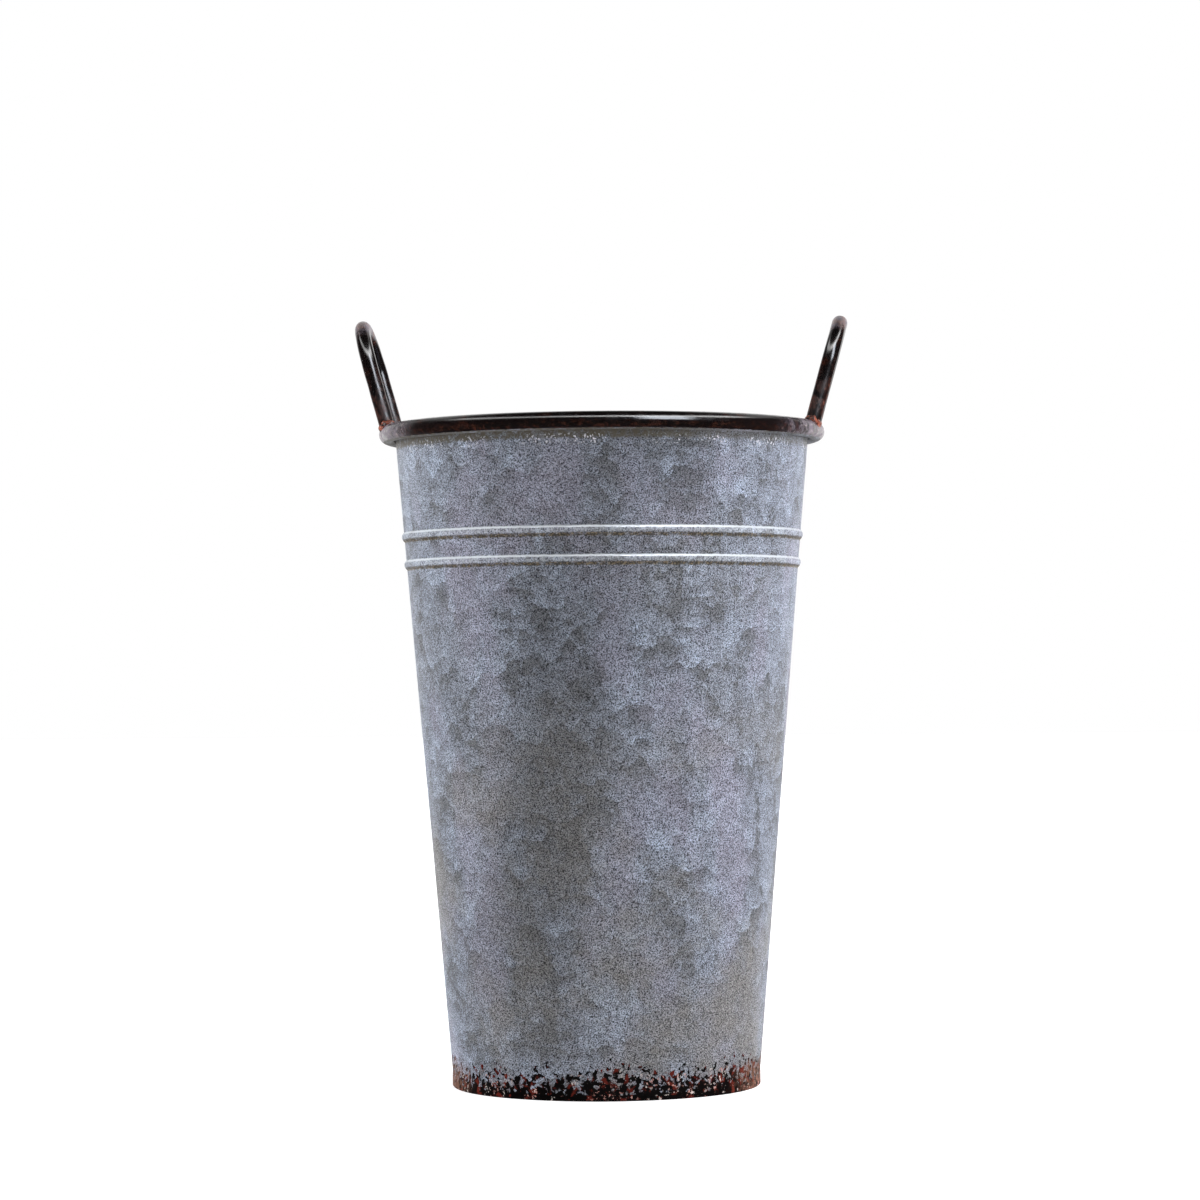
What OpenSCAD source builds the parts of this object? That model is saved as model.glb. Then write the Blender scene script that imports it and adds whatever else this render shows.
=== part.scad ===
// Tall tapered florist bucket in galvanised sheet, standing on the XY plane.
// The origin is the centre of the foot, +Z points up, and the two fixed loop handles stand
// over the rim at -X and +X. The side seam of the sheet is at +Y, the back.

/* [Bucket] */
// Height from the ground to the top of the rolled rim
bucket_h = 300; // [260:5:360]
// Outer diameter over the rolled rim
rim_od = 203; // [190:1:230]
// Outer diameter of the foot
foot_od = 140; // [120:1:160]
// Thickness of the galvanised sheet
sheet_t = 0.7; // [0.5:0.1:0.8]

/* [Rim] */
// Diameter of the rolled rim
rim_d = 8; // [7:0.5:10]
// Angle of the gap that the roll leaves open towards the wall
curl_gap_angle = 40; // [35:5:60]
// Play between the rolled sheet and the wire inside it
wire_play = 0.05; // [0.02:0.01:0.1]

/* [Wall beads] */
// Height of the lower bead's centre above the ground
bead_low_z = 236.7; // [200:0.1:240]
// Distance from one bead to the next
bead_pitch = 12.6; // [8:0.1:20]
// Number of beads pressed into the wall
bead_count = 2; // [1:1:3]
// Height of one bead along the wall
bead_h = 4; // [3:0.1:5]
// How far a bead stands out of the wall
bead_out = 1.1; // [0.9:0.1:1.4]

/* [Side seam] */
// Width of the folded side seam
seam_w = 6; // [4:0.5:10]
// How far the seam stands out of the wall
seam_out = 1.2; // [0.8:0.1:1.6]

/* [Foot and base] */
// Height of the straight foot below the taper
foot_h = 8; // [8:0.5:12]
// Height of the hem that is folded up inside the foot
hem_h = 6.2; // [5:0.1:7]
// Radius of the hem's two lower corners
hem_corner = 0.5; // [0.3:0.1:0.5]
// Radius of the ring pressed into the base
base_ring_r = 45; // [30:1:50]
// How far that ring stands up
base_ring_up = 1; // [0.9:0.1:1.4]
// Width of the pressed ring
base_ring_w = 6; // [5:0.5:8]
// Width of the sealing fillet around the base
seal_w = 2; // [1:0.5:3]

/* [Handles] */
// Diameter of the handle rod
rod_d = 7; // [5:0.5:7]
// Distance between a handle's legs, centre to centre
leg_gap = 42; // [36:1:60]
// Height of the loop along its lean, from the rim's centre to the rod's centre line
loop_h = 51.2; // [45:0.2:70]
// How far the loop leans outwards, in degrees
loop_lean = 15.5; // [8:0.5:20]
// Radius of the weld around a leg's foot
weld_r = 5; // [4.8:0.1:5.2]
// Height of the weld's centre above the rim's centre, along the leg
weld_up = 3.2; // [3:0.1:3.6]

/* [Hidden] */
$fn = 96;

// Rim: the circle that the roll is centred on
rim_r = (rim_od - rim_d) / 2;
rim_z = bucket_h - rim_d / 2;

// Wall: outer radius at the foot and where the roll begins, and the rise between them
foot_r = foot_od / 2;
neck_r = rim_r - rim_d / 2 + sheet_t;
taper = (neck_r - foot_r) / (rim_z - foot_h);
seam_top_z = rim_z - rim_d / 2 - sheet_t;

// Beads: the arc that has the bead's height as its chord
bead_arc_r = (pow(bead_h / 2, 2) + pow(bead_out, 2)) / (2 * bead_out);
bead_heights = [for (i = [0 : bead_count - 1]) bead_low_z + i * bead_pitch];

// Foot: the hem is three sheets thick, and the base lies on the edge folded up inside it
foot_inner_r = foot_r - sheet_t;
hem_w = 3 * sheet_t;
floor_z = hem_h + sheet_t;
base_arc_r = (pow(base_ring_w / 2, 2) + pow(base_ring_up, 2)) / (2 * base_ring_up);

// Handles: the distance from the axis at which both legs stand on the rim's circle
leg_foot_x = sqrt(pow(rim_r, 2) - pow(leg_gap / 2, 2));
leg_h = loop_h - leg_gap / 2;

// Outer radius of the wall at a height
function wall_r(z) = foot_r + (z - foot_h) * taper;

// Places a section on the wall's outer face at a height: X points out, Y up along the wall
module on_wall(z) {
    translate([wall_r(z), z]) rotate(-atan(taper)) children();
}

// Section of the straight side, without beads
module side_section() {
    polygon([
        [foot_inner_r, foot_h],
        [foot_r, foot_h],
        [neck_r, rim_z],
        [neck_r - sheet_t, rim_z]
    ]);
}

// Arc of one bead, cut off at a depth behind the face that it stands on
module bead_arc(r, out, depth, width) {
    intersection() {
        translate([out - r, 0]) circle(r = r);
        translate([-depth, -width]) square([out + depth + 1, 2 * width]);
    }
}

// Section of the side with its beads pressed out from inside
module beaded_section() {
    difference() {
        union() {
            side_section();
            for (z = bead_heights) on_wall(z) bead_arc(bead_arc_r, bead_out, sheet_t, bead_h);
        }
        for (z = bead_heights)
            on_wall(z) translate([bead_out - bead_arc_r, 0]) circle(r = bead_arc_r - sheet_t);
    }
}

// Section of the top edge, rolled outwards until it nearly meets the wall again
module curl_section() {
    reach = rim_d;
    translate([rim_r, rim_z]) difference() {
        circle(d = rim_d);
        circle(d = rim_d - 2 * sheet_t);
        polygon([[0, 0], [-reach, 0], [-reach, -reach * tan(curl_gap_angle)]]);
    }
}

// Section of the foot: straight skirt, turned in and up again, with a slot for the base
module hem_section() {
    difference() {
        union() {
            translate([foot_inner_r, hem_corner]) square([sheet_t, foot_h - hem_corner]);
            translate([foot_r - hem_w, hem_corner]) square([hem_w, hem_h - hem_corner]);
            translate([foot_r - hem_w + hem_corner, 0]) square([hem_w - 2 * hem_corner, sheet_t]);
            for (x = [foot_r - hem_w + hem_corner, foot_r - hem_corner])
                translate([x, hem_corner]) circle(r = hem_corner);
        }
        translate([foot_r - 2 * sheet_t, sheet_t]) square([sheet_t, hem_h]);
    }
}

// Section of the extra thickness at the side seam, beads included
module seam_section() {
    intersection() {
        union() {
            translate([seam_out, 0]) side_section();
            translate([sheet_t, 0]) side_section();
            translate([foot_r - sheet_t / 2, hem_corner + sheet_t])
                square([seam_out + sheet_t / 2, foot_h - hem_corner]);
            for (z = bead_heights) translate([seam_out, 0])
                on_wall(z) bead_arc(bead_arc_r, bead_out, seam_out, bead_h);
        }
        square([rim_od, seam_top_z]);
    }
}

// The side: one sheet with its rolled rim, beads, side seam and hemmed foot
module wall() {
    color("#8b929b") {
        rotate_extrude() union() {
            beaded_section();
            curl_section();
            hem_section();
        }
        intersection() {
            rotate_extrude() seam_section();
            translate([-seam_w / 2, 0, 0]) cube([seam_w, rim_od, bucket_h]);
        }
    }
}

// Round wire that the rim is rolled around
module rim_wire() {
    color("#5b5d60") rotate_extrude()
        translate([rim_r, rim_z]) circle(d = rim_d - 2 * sheet_t - 2 * wire_play);
}

// Section of the base: flat floor with a pressed ring and a flange turned down into the hem
module base_section() {
    difference() {
        union() {
            translate([0, hem_h]) square([foot_inner_r, sheet_t]);
            translate([foot_inner_r - sheet_t, sheet_t]) square([sheet_t, floor_z - sheet_t]);
            translate([base_ring_r, floor_z]) rotate(90)
                bead_arc(base_arc_r, base_ring_up, sheet_t, base_ring_w);
        }
        translate([base_ring_r, floor_z + base_ring_up - base_arc_r])
            circle(r = base_arc_r - sheet_t);
    }
}

// Pressed base, held in the hem
module base_pan() {
    color("#7d848d") rotate_extrude() base_section();
}

// Fillet of solder that makes the corner between the base and the side watertight
module base_seal() {
    color("#a7adb4") rotate_extrude() polygon([
        [foot_inner_r - seal_w, floor_z],
        [foot_inner_r, floor_z],
        [foot_inner_r, foot_h],
        [wall_r(floor_z + seal_w) - sheet_t, floor_z + seal_w]
    ]);
}

// Solid rim, used to shape what stands on it
module rim_blank() {
    rotate_extrude() translate([rim_r, rim_z]) circle(d = rim_d);
}

// Turns a loop's own frame, with +Z along its legs, to its side of the rim
module at_handle(side) {
    translate([side * leg_foot_x, 0, rim_z]) rotate([0, side * loop_lean, 0]) children();
}

// One bent rod: two legs and a half-round top
module loop_rod() {
    for (y = [-leg_gap / 2, leg_gap / 2]) translate([0, y, 0]) cylinder(d = rod_d, h = leg_h);
    translate([0, 0, leg_h]) rotate([90, 0, 90])
        rotate_extrude(angle = 180) translate([leg_gap / 2, 0]) circle(d = rod_d);
}

// One handle, its two feet shaped to stand on the rim
module handle(side) {
    color("#2b211f") difference() {
        at_handle(side) loop_rod();
        rim_blank();
    }
}

// Weld around one foot of a handle; end is -1 for the front leg and 1 for the back one
module weld(side, end) {
    color("#5a3a30") difference() {
        at_handle(side) translate([0, end * leg_gap / 2, weld_up]) sphere(r = weld_r);
        at_handle(side) translate([0, end * leg_gap / 2, 0]) cylinder(d = rod_d, h = leg_h);
        rim_blank();
    }
}

wall();
rim_wire();
base_pan();
base_seal();
handle(-1);  // handle_left
handle(1);  // handle_right
weld(-1, -1);  // weld_left_front
weld(-1, 1);  // weld_left_back
weld(1, -1);  // weld_right_front
weld(1, 1);  // weld_right_back
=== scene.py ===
# %% [markdown]
# # A galvanised florist bucket
# This lesson builds the visible surfaces of a tall tapered flower bucket: one sheet of zinc-coated
# steel that is hemmed at the foot, beaded below the rim and rolled at the top, a pressed base, and
# two bent-rod handles welded to the rim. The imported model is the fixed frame. It says where every
# piece goes, and each visible piece here takes the place of one of its nodes.

# %% Load the frame
import math

import bpy
import numpy as np
from mathutils import Matrix, Vector


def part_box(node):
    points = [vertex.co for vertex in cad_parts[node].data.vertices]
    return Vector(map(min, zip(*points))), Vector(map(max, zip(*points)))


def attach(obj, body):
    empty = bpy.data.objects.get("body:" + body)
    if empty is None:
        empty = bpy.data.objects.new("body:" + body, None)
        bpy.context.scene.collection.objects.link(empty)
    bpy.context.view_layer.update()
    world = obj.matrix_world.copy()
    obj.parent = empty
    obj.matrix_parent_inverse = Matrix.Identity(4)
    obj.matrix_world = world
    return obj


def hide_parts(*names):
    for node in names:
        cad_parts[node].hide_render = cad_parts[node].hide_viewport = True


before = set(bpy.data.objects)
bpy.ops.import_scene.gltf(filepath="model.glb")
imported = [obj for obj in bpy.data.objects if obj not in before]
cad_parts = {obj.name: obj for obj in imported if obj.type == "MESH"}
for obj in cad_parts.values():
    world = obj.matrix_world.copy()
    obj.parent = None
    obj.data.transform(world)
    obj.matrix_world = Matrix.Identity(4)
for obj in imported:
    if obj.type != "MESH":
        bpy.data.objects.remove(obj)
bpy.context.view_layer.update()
print("nodes:", sorted(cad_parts))

# %% [markdown]
# ## The measures
# A handful of sizes drives every surface. What the frame knows is read from it: the outside of the
# rim, its height, the radius of the base and the spread of a handle's legs. The rest are a
# sheet-metal worker's numbers: sheet thickness, hem, beads and seam.

# %% Measures, in metres
MM = 0.001
_, wall_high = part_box("wall")
wire_low, wire_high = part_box("rim_wire")
_, pan_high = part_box("base_pan")
handle_low, handle_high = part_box("handle_right")

SHEET = 0.7 * MM
RIM_TOP = wall_high.z
RIM_OUT = wall_high.x
RIM_Z = (wire_low.z + wire_high.z) / 2
ROLL = RIM_TOP - RIM_Z
RIM_R = RIM_OUT - ROLL

FOOT_R = pan_high.x + SHEET
FOOT_H = 8 * MM
FLOOR_TOP = 6.9 * MM
HEM_H = FLOOR_TOP - SHEET
NECK_R = RIM_R - ROLL + SHEET
TAPER = (NECK_R - FOOT_R) / (RIM_Z - FOOT_H)

BEAD_Z = (236.7 * MM, 249.3 * MM)
BEAD_HALF = 2.0 * MM
BEAD_OUT = 1.1 * MM

SEAM_HALF = 3.0 * MM
SEAM_OUT = 1.2 * MM

ROD_R = 3.5 * MM
LEG_HALF = (handle_high.y - handle_low.y) / 2 - ROD_R
LEG_FOOT_X = math.sqrt(RIM_R ** 2 - LEG_HALF ** 2)
LOOP_LEAN = math.radians(15.5)
LOOP_H = 51.2 * MM
LEG_H = LOOP_H - LEG_HALF
print(f"rim {2 * RIM_OUT / MM:.1f} mm, foot {2 * FOOT_R / MM:.1f} mm, "
      f"legs {2 * LEG_HALF / MM:.1f} mm apart")


# %% [markdown]
# ## From arrays to a mesh
# Every surface below is a grid of points worked out with numpy. It could be put together face by
# face, but whole arrays are quicker and shorter. These helpers turn a grid into faces, close it
# where it meets itself, and put it into a Blender mesh in one go. A closed shell has a positive
# volume when its faces point outwards, so the sign of the volume says whether to turn it over.

# %% Grid and mesh helpers
def grid_faces(rows, columns, wrap_rows=True):
    """Four corners for each cell of a grid that is numbered row by row and whose rows are closed rings."""
    i = np.arange(rows if wrap_rows else rows - 1)[:, None]
    j = np.arange(columns)[None, :]
    i_next, j_next = (i + 1) % rows, (j + 1) % columns
    corners = [i * columns + j, i * columns + j_next, i_next * columns + j_next, i_next * columns + j]
    return np.stack([np.broadcast_to(c, (i.size, j.size)) for c in corners], axis=-1).reshape(-1, 4)


def fan_faces(ring, pole):
    """Triangles from each edge of a closed ring of point numbers to one pole."""
    return np.stack([ring, np.roll(ring, -1), np.full_like(ring, pole)], axis=-1)


def signed_volume(points, triangles):
    """A sixth of the sum of a . (b x c) over the triangles."""
    a, b, c = (points[triangles[:, k]] for k in range(3))
    return float(np.einsum("ij,ij->i", a, np.cross(b, c)).sum() / 6)


def make_piece(name, points, quads, triangles=np.zeros((0, 3), int), slot=None, stands_for=(),
               closed=True):
    """Makes a smooth-shaded object from numpy points and faces, riding on the frame's only body."""
    points = np.asarray(points, float).reshape(-1, 3)
    halves = np.concatenate([quads[:, [0, 1, 2]], quads[:, [0, 2, 3]], triangles])
    if closed and signed_volume(points, halves) < 0:
        quads, triangles = quads[:, ::-1], triangles[:, ::-1]
    mesh = bpy.data.meshes.new(name)
    mesh.vertices.add(len(points))
    mesh.vertices.foreach_set("co", points.astype(np.float32).ravel())
    corners = np.concatenate([quads.ravel(), triangles.ravel()]).astype(np.int32)
    sizes = np.concatenate([np.full(len(quads), 4), np.full(len(triangles), 3)])
    mesh.loops.add(len(corners))
    mesh.loops.foreach_set("vertex_index", corners)
    mesh.polygons.add(len(sizes))
    mesh.polygons.foreach_set("loop_start", (np.cumsum(sizes) - sizes).astype(np.int32))
    mesh.update(calc_edges=True)
    mesh.validate()
    mesh.shade_smooth()
    piece = bpy.data.objects.new(name, mesh)
    bpy.context.scene.collection.objects.link(piece)
    if slot:
        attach(piece, "root")
        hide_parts(*stands_for)
    cubic_mm = abs(signed_volume(points, halves)) / MM ** 3
    print(f"{name}: {len(points)} points, {len(halves)} triangles, {cubic_mm:.0f} mm3")
    return piece


def set_attribute(piece, name, values):
    """Stores one number per point under a name that a material can read."""
    attribute = piece.data.attributes.new(name, "FLOAT", "POINT")
    attribute.data.foreach_set("value", np.asarray(values, np.float32).ravel())


# %% [markdown]
# ## Unevenness by hand
# Rolled sheet and a hand-bent rod are never quite true. A short sum of waves gives a smooth and
# repeatable unevenness that closes on itself round the bucket, which random noise per point
# wouldn't do.

# %% Waves
WAVE_COUNT = 7


def waves(turn, along, seed, turns=(2, 9), spans=(8, 40)):
    """Sum of cos(m * turn + a) * cos(k * along + b), scaled so that it stays within about one."""
    chance = np.random.default_rng(seed)
    total = 0.0
    for _ in range(WAVE_COUNT):
        m, k = chance.integers(*turns), chance.uniform(*spans)
        a, b = chance.uniform(0, 2 * math.pi, 2)
        total = total + np.cos(m * turn + a) * np.cos(k * along + b)
    return total / math.sqrt(WAVE_COUNT)


def smoothstep(low, high, x):
    """0 below low, 1 above high, and 3t^2 - 2t^3 between them."""
    t = np.clip((x - low) / (high - low), 0, 1)
    return t * t * (3 - 2 * t)


def arc(centre, radius, start, end, count):
    """Points on a circle from one angle to another, in degrees, both ends included."""
    angle = np.radians(np.linspace(start, end, count))
    return np.stack([centre[0] + radius * np.cos(angle), centre[1] + radius * np.sin(angle)], axis=-1)


# %% [markdown]
# ## The side of the bucket
# The real side is one sheet. It could be a cone with rings for beads and a torus for a rim, but
# their joins would show where pressed metal has none. Its middle line can be drawn in one stroke:
# down inside the hem, round the foot, up the tapered wall over the two beads, and round the wire.
# Giving that line a thickness and turning it about the axis makes the whole sheet at once.

# %% Middle line of the sheet
def bead_bump(z):
    """Circle arcs of the beads' height over the wall; a soft maximum with zero rounds their shoulders."""
    radius = (BEAD_HALF ** 2 + BEAD_OUT ** 2) / (2 * BEAD_OUT)
    slope = BEAD_HALF / (radius - BEAD_OUT)
    soft = 0.10 * MM
    bump = 0.0
    for centre in BEAD_Z:
        d = np.abs(z - centre)
        inside = np.sqrt(np.maximum(radius ** 2 - d ** 2, 0)) - (radius - BEAD_OUT)
        height = np.where(d < BEAD_HALF, inside, -(d - BEAD_HALF) * slope)
        bump = bump + soft * np.logaddexp(0, height / soft)
    return bump


def wall_r(z):
    """Outer radius of the plain taper at a height."""
    return FOOT_R + (z - FOOT_H) * TAPER


CURL_STOP = -140.0  # degrees: the roll starts at 180, on the wall's side, and ends under the wire
hem_top = np.array([[FOOT_R - 2.5 * SHEET, HEM_H], [FOOT_R - 2.5 * SHEET, HEM_H * 0.6]])
turn_up = arc((FOOT_R - 1.5 * SHEET, 1.5 * SHEET), SHEET, 180, 360, 11)
foot = np.array([[FOOT_R - SHEET / 2, z] for z in (3 * MM, 5.5 * MM)])
side_z = np.concatenate([np.linspace(FOOT_H, RIM_Z - 1.5 * MM, 50)]
                        + [b + np.linspace(-3.2, 3.2, 29) * MM for b in BEAD_Z])
side_z = np.unique(np.round(side_z, 6))
side = np.stack([wall_r(side_z) - SHEET / 2 + bead_bump(side_z), side_z], axis=-1)
curl = arc((RIM_R, RIM_Z), ROLL - SHEET / 2, 180, CURL_STOP, 49)
line = np.concatenate([hem_top, turn_up, foot, side, curl])
print("middle line:", len(line), "points")


# %% [markdown]
# ### Thickness, seam and unevenness
# Stepping half a sheet to each side of the line gives the two faces. A Solidify modifier would too,
# but the two faces differ here: at the back the sheet's edges are folded into each other, which
# stands out as a strip outside and leaves only a thin groove inside. The strip has a constant
# width, so its columns of points run at fixed distances from its middle, and the other columns at
# fixed angles. Seam, groove and dents fade out below the roll, which a machine ran round last.

# %% Two faces of the sheet
def line_normals(points):
    """Unit normals on the right-hand side of a line of (radius, height) points."""
    tangent = np.gradient(points, axis=0)
    tangent /= np.linalg.norm(tangent, axis=1)[:, None]
    return np.stack([tangent[:, 1], -tangent[:, 0]], axis=-1)


normal = line_normals(line)
length = np.concatenate([[0], np.cumsum(np.linalg.norm(np.diff(line, axis=0), axis=1))])
face_a = line + normal * SHEET / 2
face_b = line - normal * SHEET / 2
loop = np.concatenate([face_a, line[-1:] + (line[-1:] - line[-2:-1]) * 0.12, face_b[::-1], line[:1]])
on_a = np.arange(len(loop)) < len(line)

SEAM_EDGE = 0.35 * MM
GROOVE = 0.35 * MM
DENT = 0.16 * MM
seam_steps = np.array([0.0, 0.25, 0.6, 1.6, 2.3, 2.6, 2.8, 3.0, 3.2, 3.5, 4.2, 5.4]) * MM
PLAIN_COLUMNS = 258
plain_turns = np.radians(np.linspace(7.0, 353.0, PLAIN_COLUMNS))
columns = 2 * len(seam_steps) - 1 + len(plain_turns)
near = loop[:, :1]
turn = np.concatenate([
    seam_steps[None, :] / near,
    np.broadcast_to(plain_turns, (len(loop), len(plain_turns))),
    2 * math.pi - seam_steps[:0:-1][None, :] / near,
], axis=1)

height = np.broadcast_to(loop[:, 1:], turn.shape)
from_seam = np.minimum(turn, 2 * math.pi - turn) * near
up = smoothstep(1.2 * MM, 4 * MM, height) * (1 - smoothstep(RIM_Z - 5 * MM, RIM_Z - 2 * MM, height))
seam = SEAM_OUT * up * (1 - smoothstep(SEAM_HALF - SEAM_EDGE, SEAM_HALF + SEAM_EDGE, from_seam))
groove = GROOVE * up * (1 - smoothstep(0.1 * MM, 0.6 * MM, from_seam))
calm = smoothstep(FOOT_H, 45 * MM, height) * (1 - smoothstep(262 * MM, 290 * MM, height))
dents = DENT * calm * waves(turn, height, seed=4)
along_line = np.concatenate([np.arange(len(line)), [len(line) - 1], np.arange(len(line))[::-1], [0]])
on_curl = along_line >= len(line) - len(curl)
shift = np.where(on_a[:, None], seam, groove) + dents
radius = near + np.where(on_curl[:, None], 0.0, shift)
wall_points = np.stack([radius * np.sin(turn), radius * np.cos(turn), height], axis=-1)
wall = make_piece("bucket_wall", wall_points, grid_faces(len(loop), columns),
                  slot="galvanised_sheet", stands_for=["wall"])

# %% [markdown]
# ### Where the rim is painted
# The roll was brushed with dark paint. How far a point lies inside the painted strip, along the
# sheet, is stored with the mesh: the material then breaks the edge up with noise, as a brush
# does. The value is one half on the edge, and it rises or falls by one over four millimetres.

# %% Paint attribute
PAINT_ABOVE_WALL = 1.2 * MM
PAINT_STOP = -58.0  # degrees round the roll
PAINT_SOFT = 4 * MM
curl_start = len(line) - len(curl)
curl_angle = np.linspace(180, CURL_STOP, len(curl))
paint_from = length[curl_start] - PAINT_ABOVE_WALL
paint_to = np.interp(-PAINT_STOP, -curl_angle, length[curl_start:])
inside_strip = np.minimum(length - paint_from, paint_to - length)
paint_line = np.clip(0.5 + inside_strip / PAINT_SOFT, 0, 1)
unpainted = np.zeros(len(line))
paint_loop = np.concatenate([unpainted, [0], paint_line[::-1], [0]])
set_attribute(wall, "paint", np.repeat(paint_loop, columns))
print(f"painted strip: {(paint_to - paint_from) / MM:.1f} mm wide along the sheet")

# %% [markdown]
# ## The base
# The base is pressed from a disc: a flat floor with one stiffening ring, and a flange turned down
# into the hem. A plain disc would do from the front, but not for a look inside or from below. It is
# a line turned about the axis like the side, and where it ends near the axis, the last ring of
# points closes into a pole.

# %% Base surface
TURNS = np.linspace(0, 2 * math.pi, 240, endpoint=False)
BASE_RING_R = 45 * MM
BASE_RING_HALF = 3.0 * MM
BASE_RING_UP = 1.0 * MM
BASE_CORNER = 1.2 * MM
floor_mid = FLOOR_TOP - SHEET / 2
flange_r = FOOT_R - 1.5 * SHEET


def turned(profile):
    """Points (r cos a, r sin a, z) of a (radius, height) profile at every turn a about the axis."""
    r, z = profile[:, :1], profile[:, 1:]
    return np.stack([r * np.cos(TURNS), r * np.sin(TURNS), z + 0 * TURNS], axis=-1)


floor_r = np.concatenate([np.linspace(flange_r - BASE_CORNER, 50 * MM, 12),
                          BASE_RING_R + np.linspace(4, -4, 25) * MM, np.linspace(39, 2, 20) * MM])
from_ring = np.abs(floor_r - BASE_RING_R)
ring_rise = BASE_RING_UP * (1 - smoothstep(0.3 * BASE_RING_HALF, BASE_RING_HALF, from_ring))
floor_line = np.stack([floor_r, floor_mid + ring_rise], axis=-1)
corner = arc((flange_r - BASE_CORNER, floor_mid - BASE_CORNER), BASE_CORNER, 0, 90, 8)[:-1]
flange = np.array([[flange_r, 1.2 * MM], [flange_r, 3 * MM]])
base_line = np.concatenate([flange, corner, floor_line])
base_normal = line_normals(base_line)
base_loop = np.concatenate([(base_line + base_normal * SHEET / 2)[::-1],
                            base_line - base_normal * SHEET / 2])
base_points = turned(base_loop)
flat_part = 1 - smoothstep(40 * MM, 60 * MM, base_loop[:, :1])
base_points[..., 2] += 0.12 * MM * flat_part * waves(TURNS, base_loop[:, :1], seed=9, spans=(20, 60))
poles = [[0, 0, base_points[0, :, 2].mean()], [0, 0, base_points[-1, :, 2].mean()]]
rings = len(base_loop)
count = rings * len(TURNS)
first_ring, last_ring = np.arange(len(TURNS)), np.arange(count - len(TURNS), count)
caps = np.concatenate([fan_faces(first_ring[::-1], count), fan_faces(last_ring, count + 1)])
base = make_piece("bucket_base", np.concatenate([base_points.reshape(-1, 3), poles]),
                  grid_faces(rings, len(TURNS), wrap_rows=False), caps,
                  slot="galvanised_base", stands_for=["base_pan"])

# %% [markdown]
# ### Solder
# Solder run round the inner corner makes the base watertight. It could be a torus pushed into the
# corner, but real solder is drawn in hollow: a quarter circle between base and wall, turned about
# the axis and a little lumpy.

# %% Solder surface
FILLET_R = 2.3 * MM
corner_r = FOOT_R - SHEET
fillet = arc((corner_r - FILLET_R, FLOOR_TOP + FILLET_R), FILLET_R, -90, 0, 9)
fillet[-1, 0] = wall_r(fillet[-1, 1]) - SHEET
solder_loop = np.concatenate([fillet, [[corner_r + 0.1 * MM, FLOOR_TOP - 0.1 * MM]]])
solder_points = turned(solder_loop)
lump = 1 + 0.10 * waves(TURNS, 0 * TURNS, seed=12, turns=(5, 40))
corner_ring = turned(np.array([[corner_r, FLOOR_TOP]]))
solder_points = solder_points + (solder_points - corner_ring) * (lump - 1)[None, :, None]
solder = make_piece("base_solder", solder_points, grid_faces(len(solder_loop), len(TURNS)),
                    slot="solder", stands_for=["base_seal"])


# %% [markdown]
# ## The handles
# Each handle is one bent rod that stands on the rim and leans outwards. A curve with a round bevel
# would give a rod, but its feet would end square inside the rim. Here a circle is carried along a
# line of two legs and a half-round top, and its feet are cut to the round of the rim: for every
# point around the rod, steps towards the rim's surface find how far down the leg goes.

# %% Feet on the roll
CLOSING_STEPS = 60
STEP_SHARE = 0.8


def to_roll(points, r):
    """Nearest points on a torus of tube radius r around the rim's circle, and the distances to it."""
    flat = np.linalg.norm(points[..., :2], axis=-1, keepdims=True)
    ring = np.concatenate([points[..., :2] / flat * RIM_R, np.full_like(flat, RIM_Z)], axis=-1)
    away = points - ring
    gap = np.linalg.norm(away, axis=-1, keepdims=True)
    return ring + away / gap * r, gap[..., 0] - r


def handle_frame(side):
    """Foot point midway between the legs, direction along the legs, and direction out of the loop."""
    foot_point = np.array([side * LEG_FOOT_X, 0, RIM_Z])
    along = np.array([side * math.sin(LOOP_LEAN), 0, math.cos(LOOP_LEAN)])
    outward = np.array([side * math.cos(LOOP_LEAN), 0, -math.sin(LOOP_LEAN)])
    return foot_point, along, outward


def foot_height(start, along):
    """Height t along a leg where it leaves the rim: t becomes t - STEP_SHARE * gap(t), again and again."""
    t = np.full(start.shape[:-1], 2 * ROLL)
    for _ in range(CLOSING_STEPS):
        t = t - STEP_SHARE * to_roll(start + t[..., None] * along, ROLL)[1]
    return t


# %% [markdown]
# ### The rod
# The ring of points round the rod turns with the bend, so that it stays square to the line. A few
# slow waves in the radius, a twentieth of a millimetre high, make the highlights waver as they do
# on a rod that was bent by hand.

# %% Handle surface
AROUND = np.linspace(0, 2 * math.pi, 48, endpoint=False)
ROD_TRIM = 0.04 * MM
ROD_WAVE = 0.05 * MM
CAP_RINGS = 3


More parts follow.
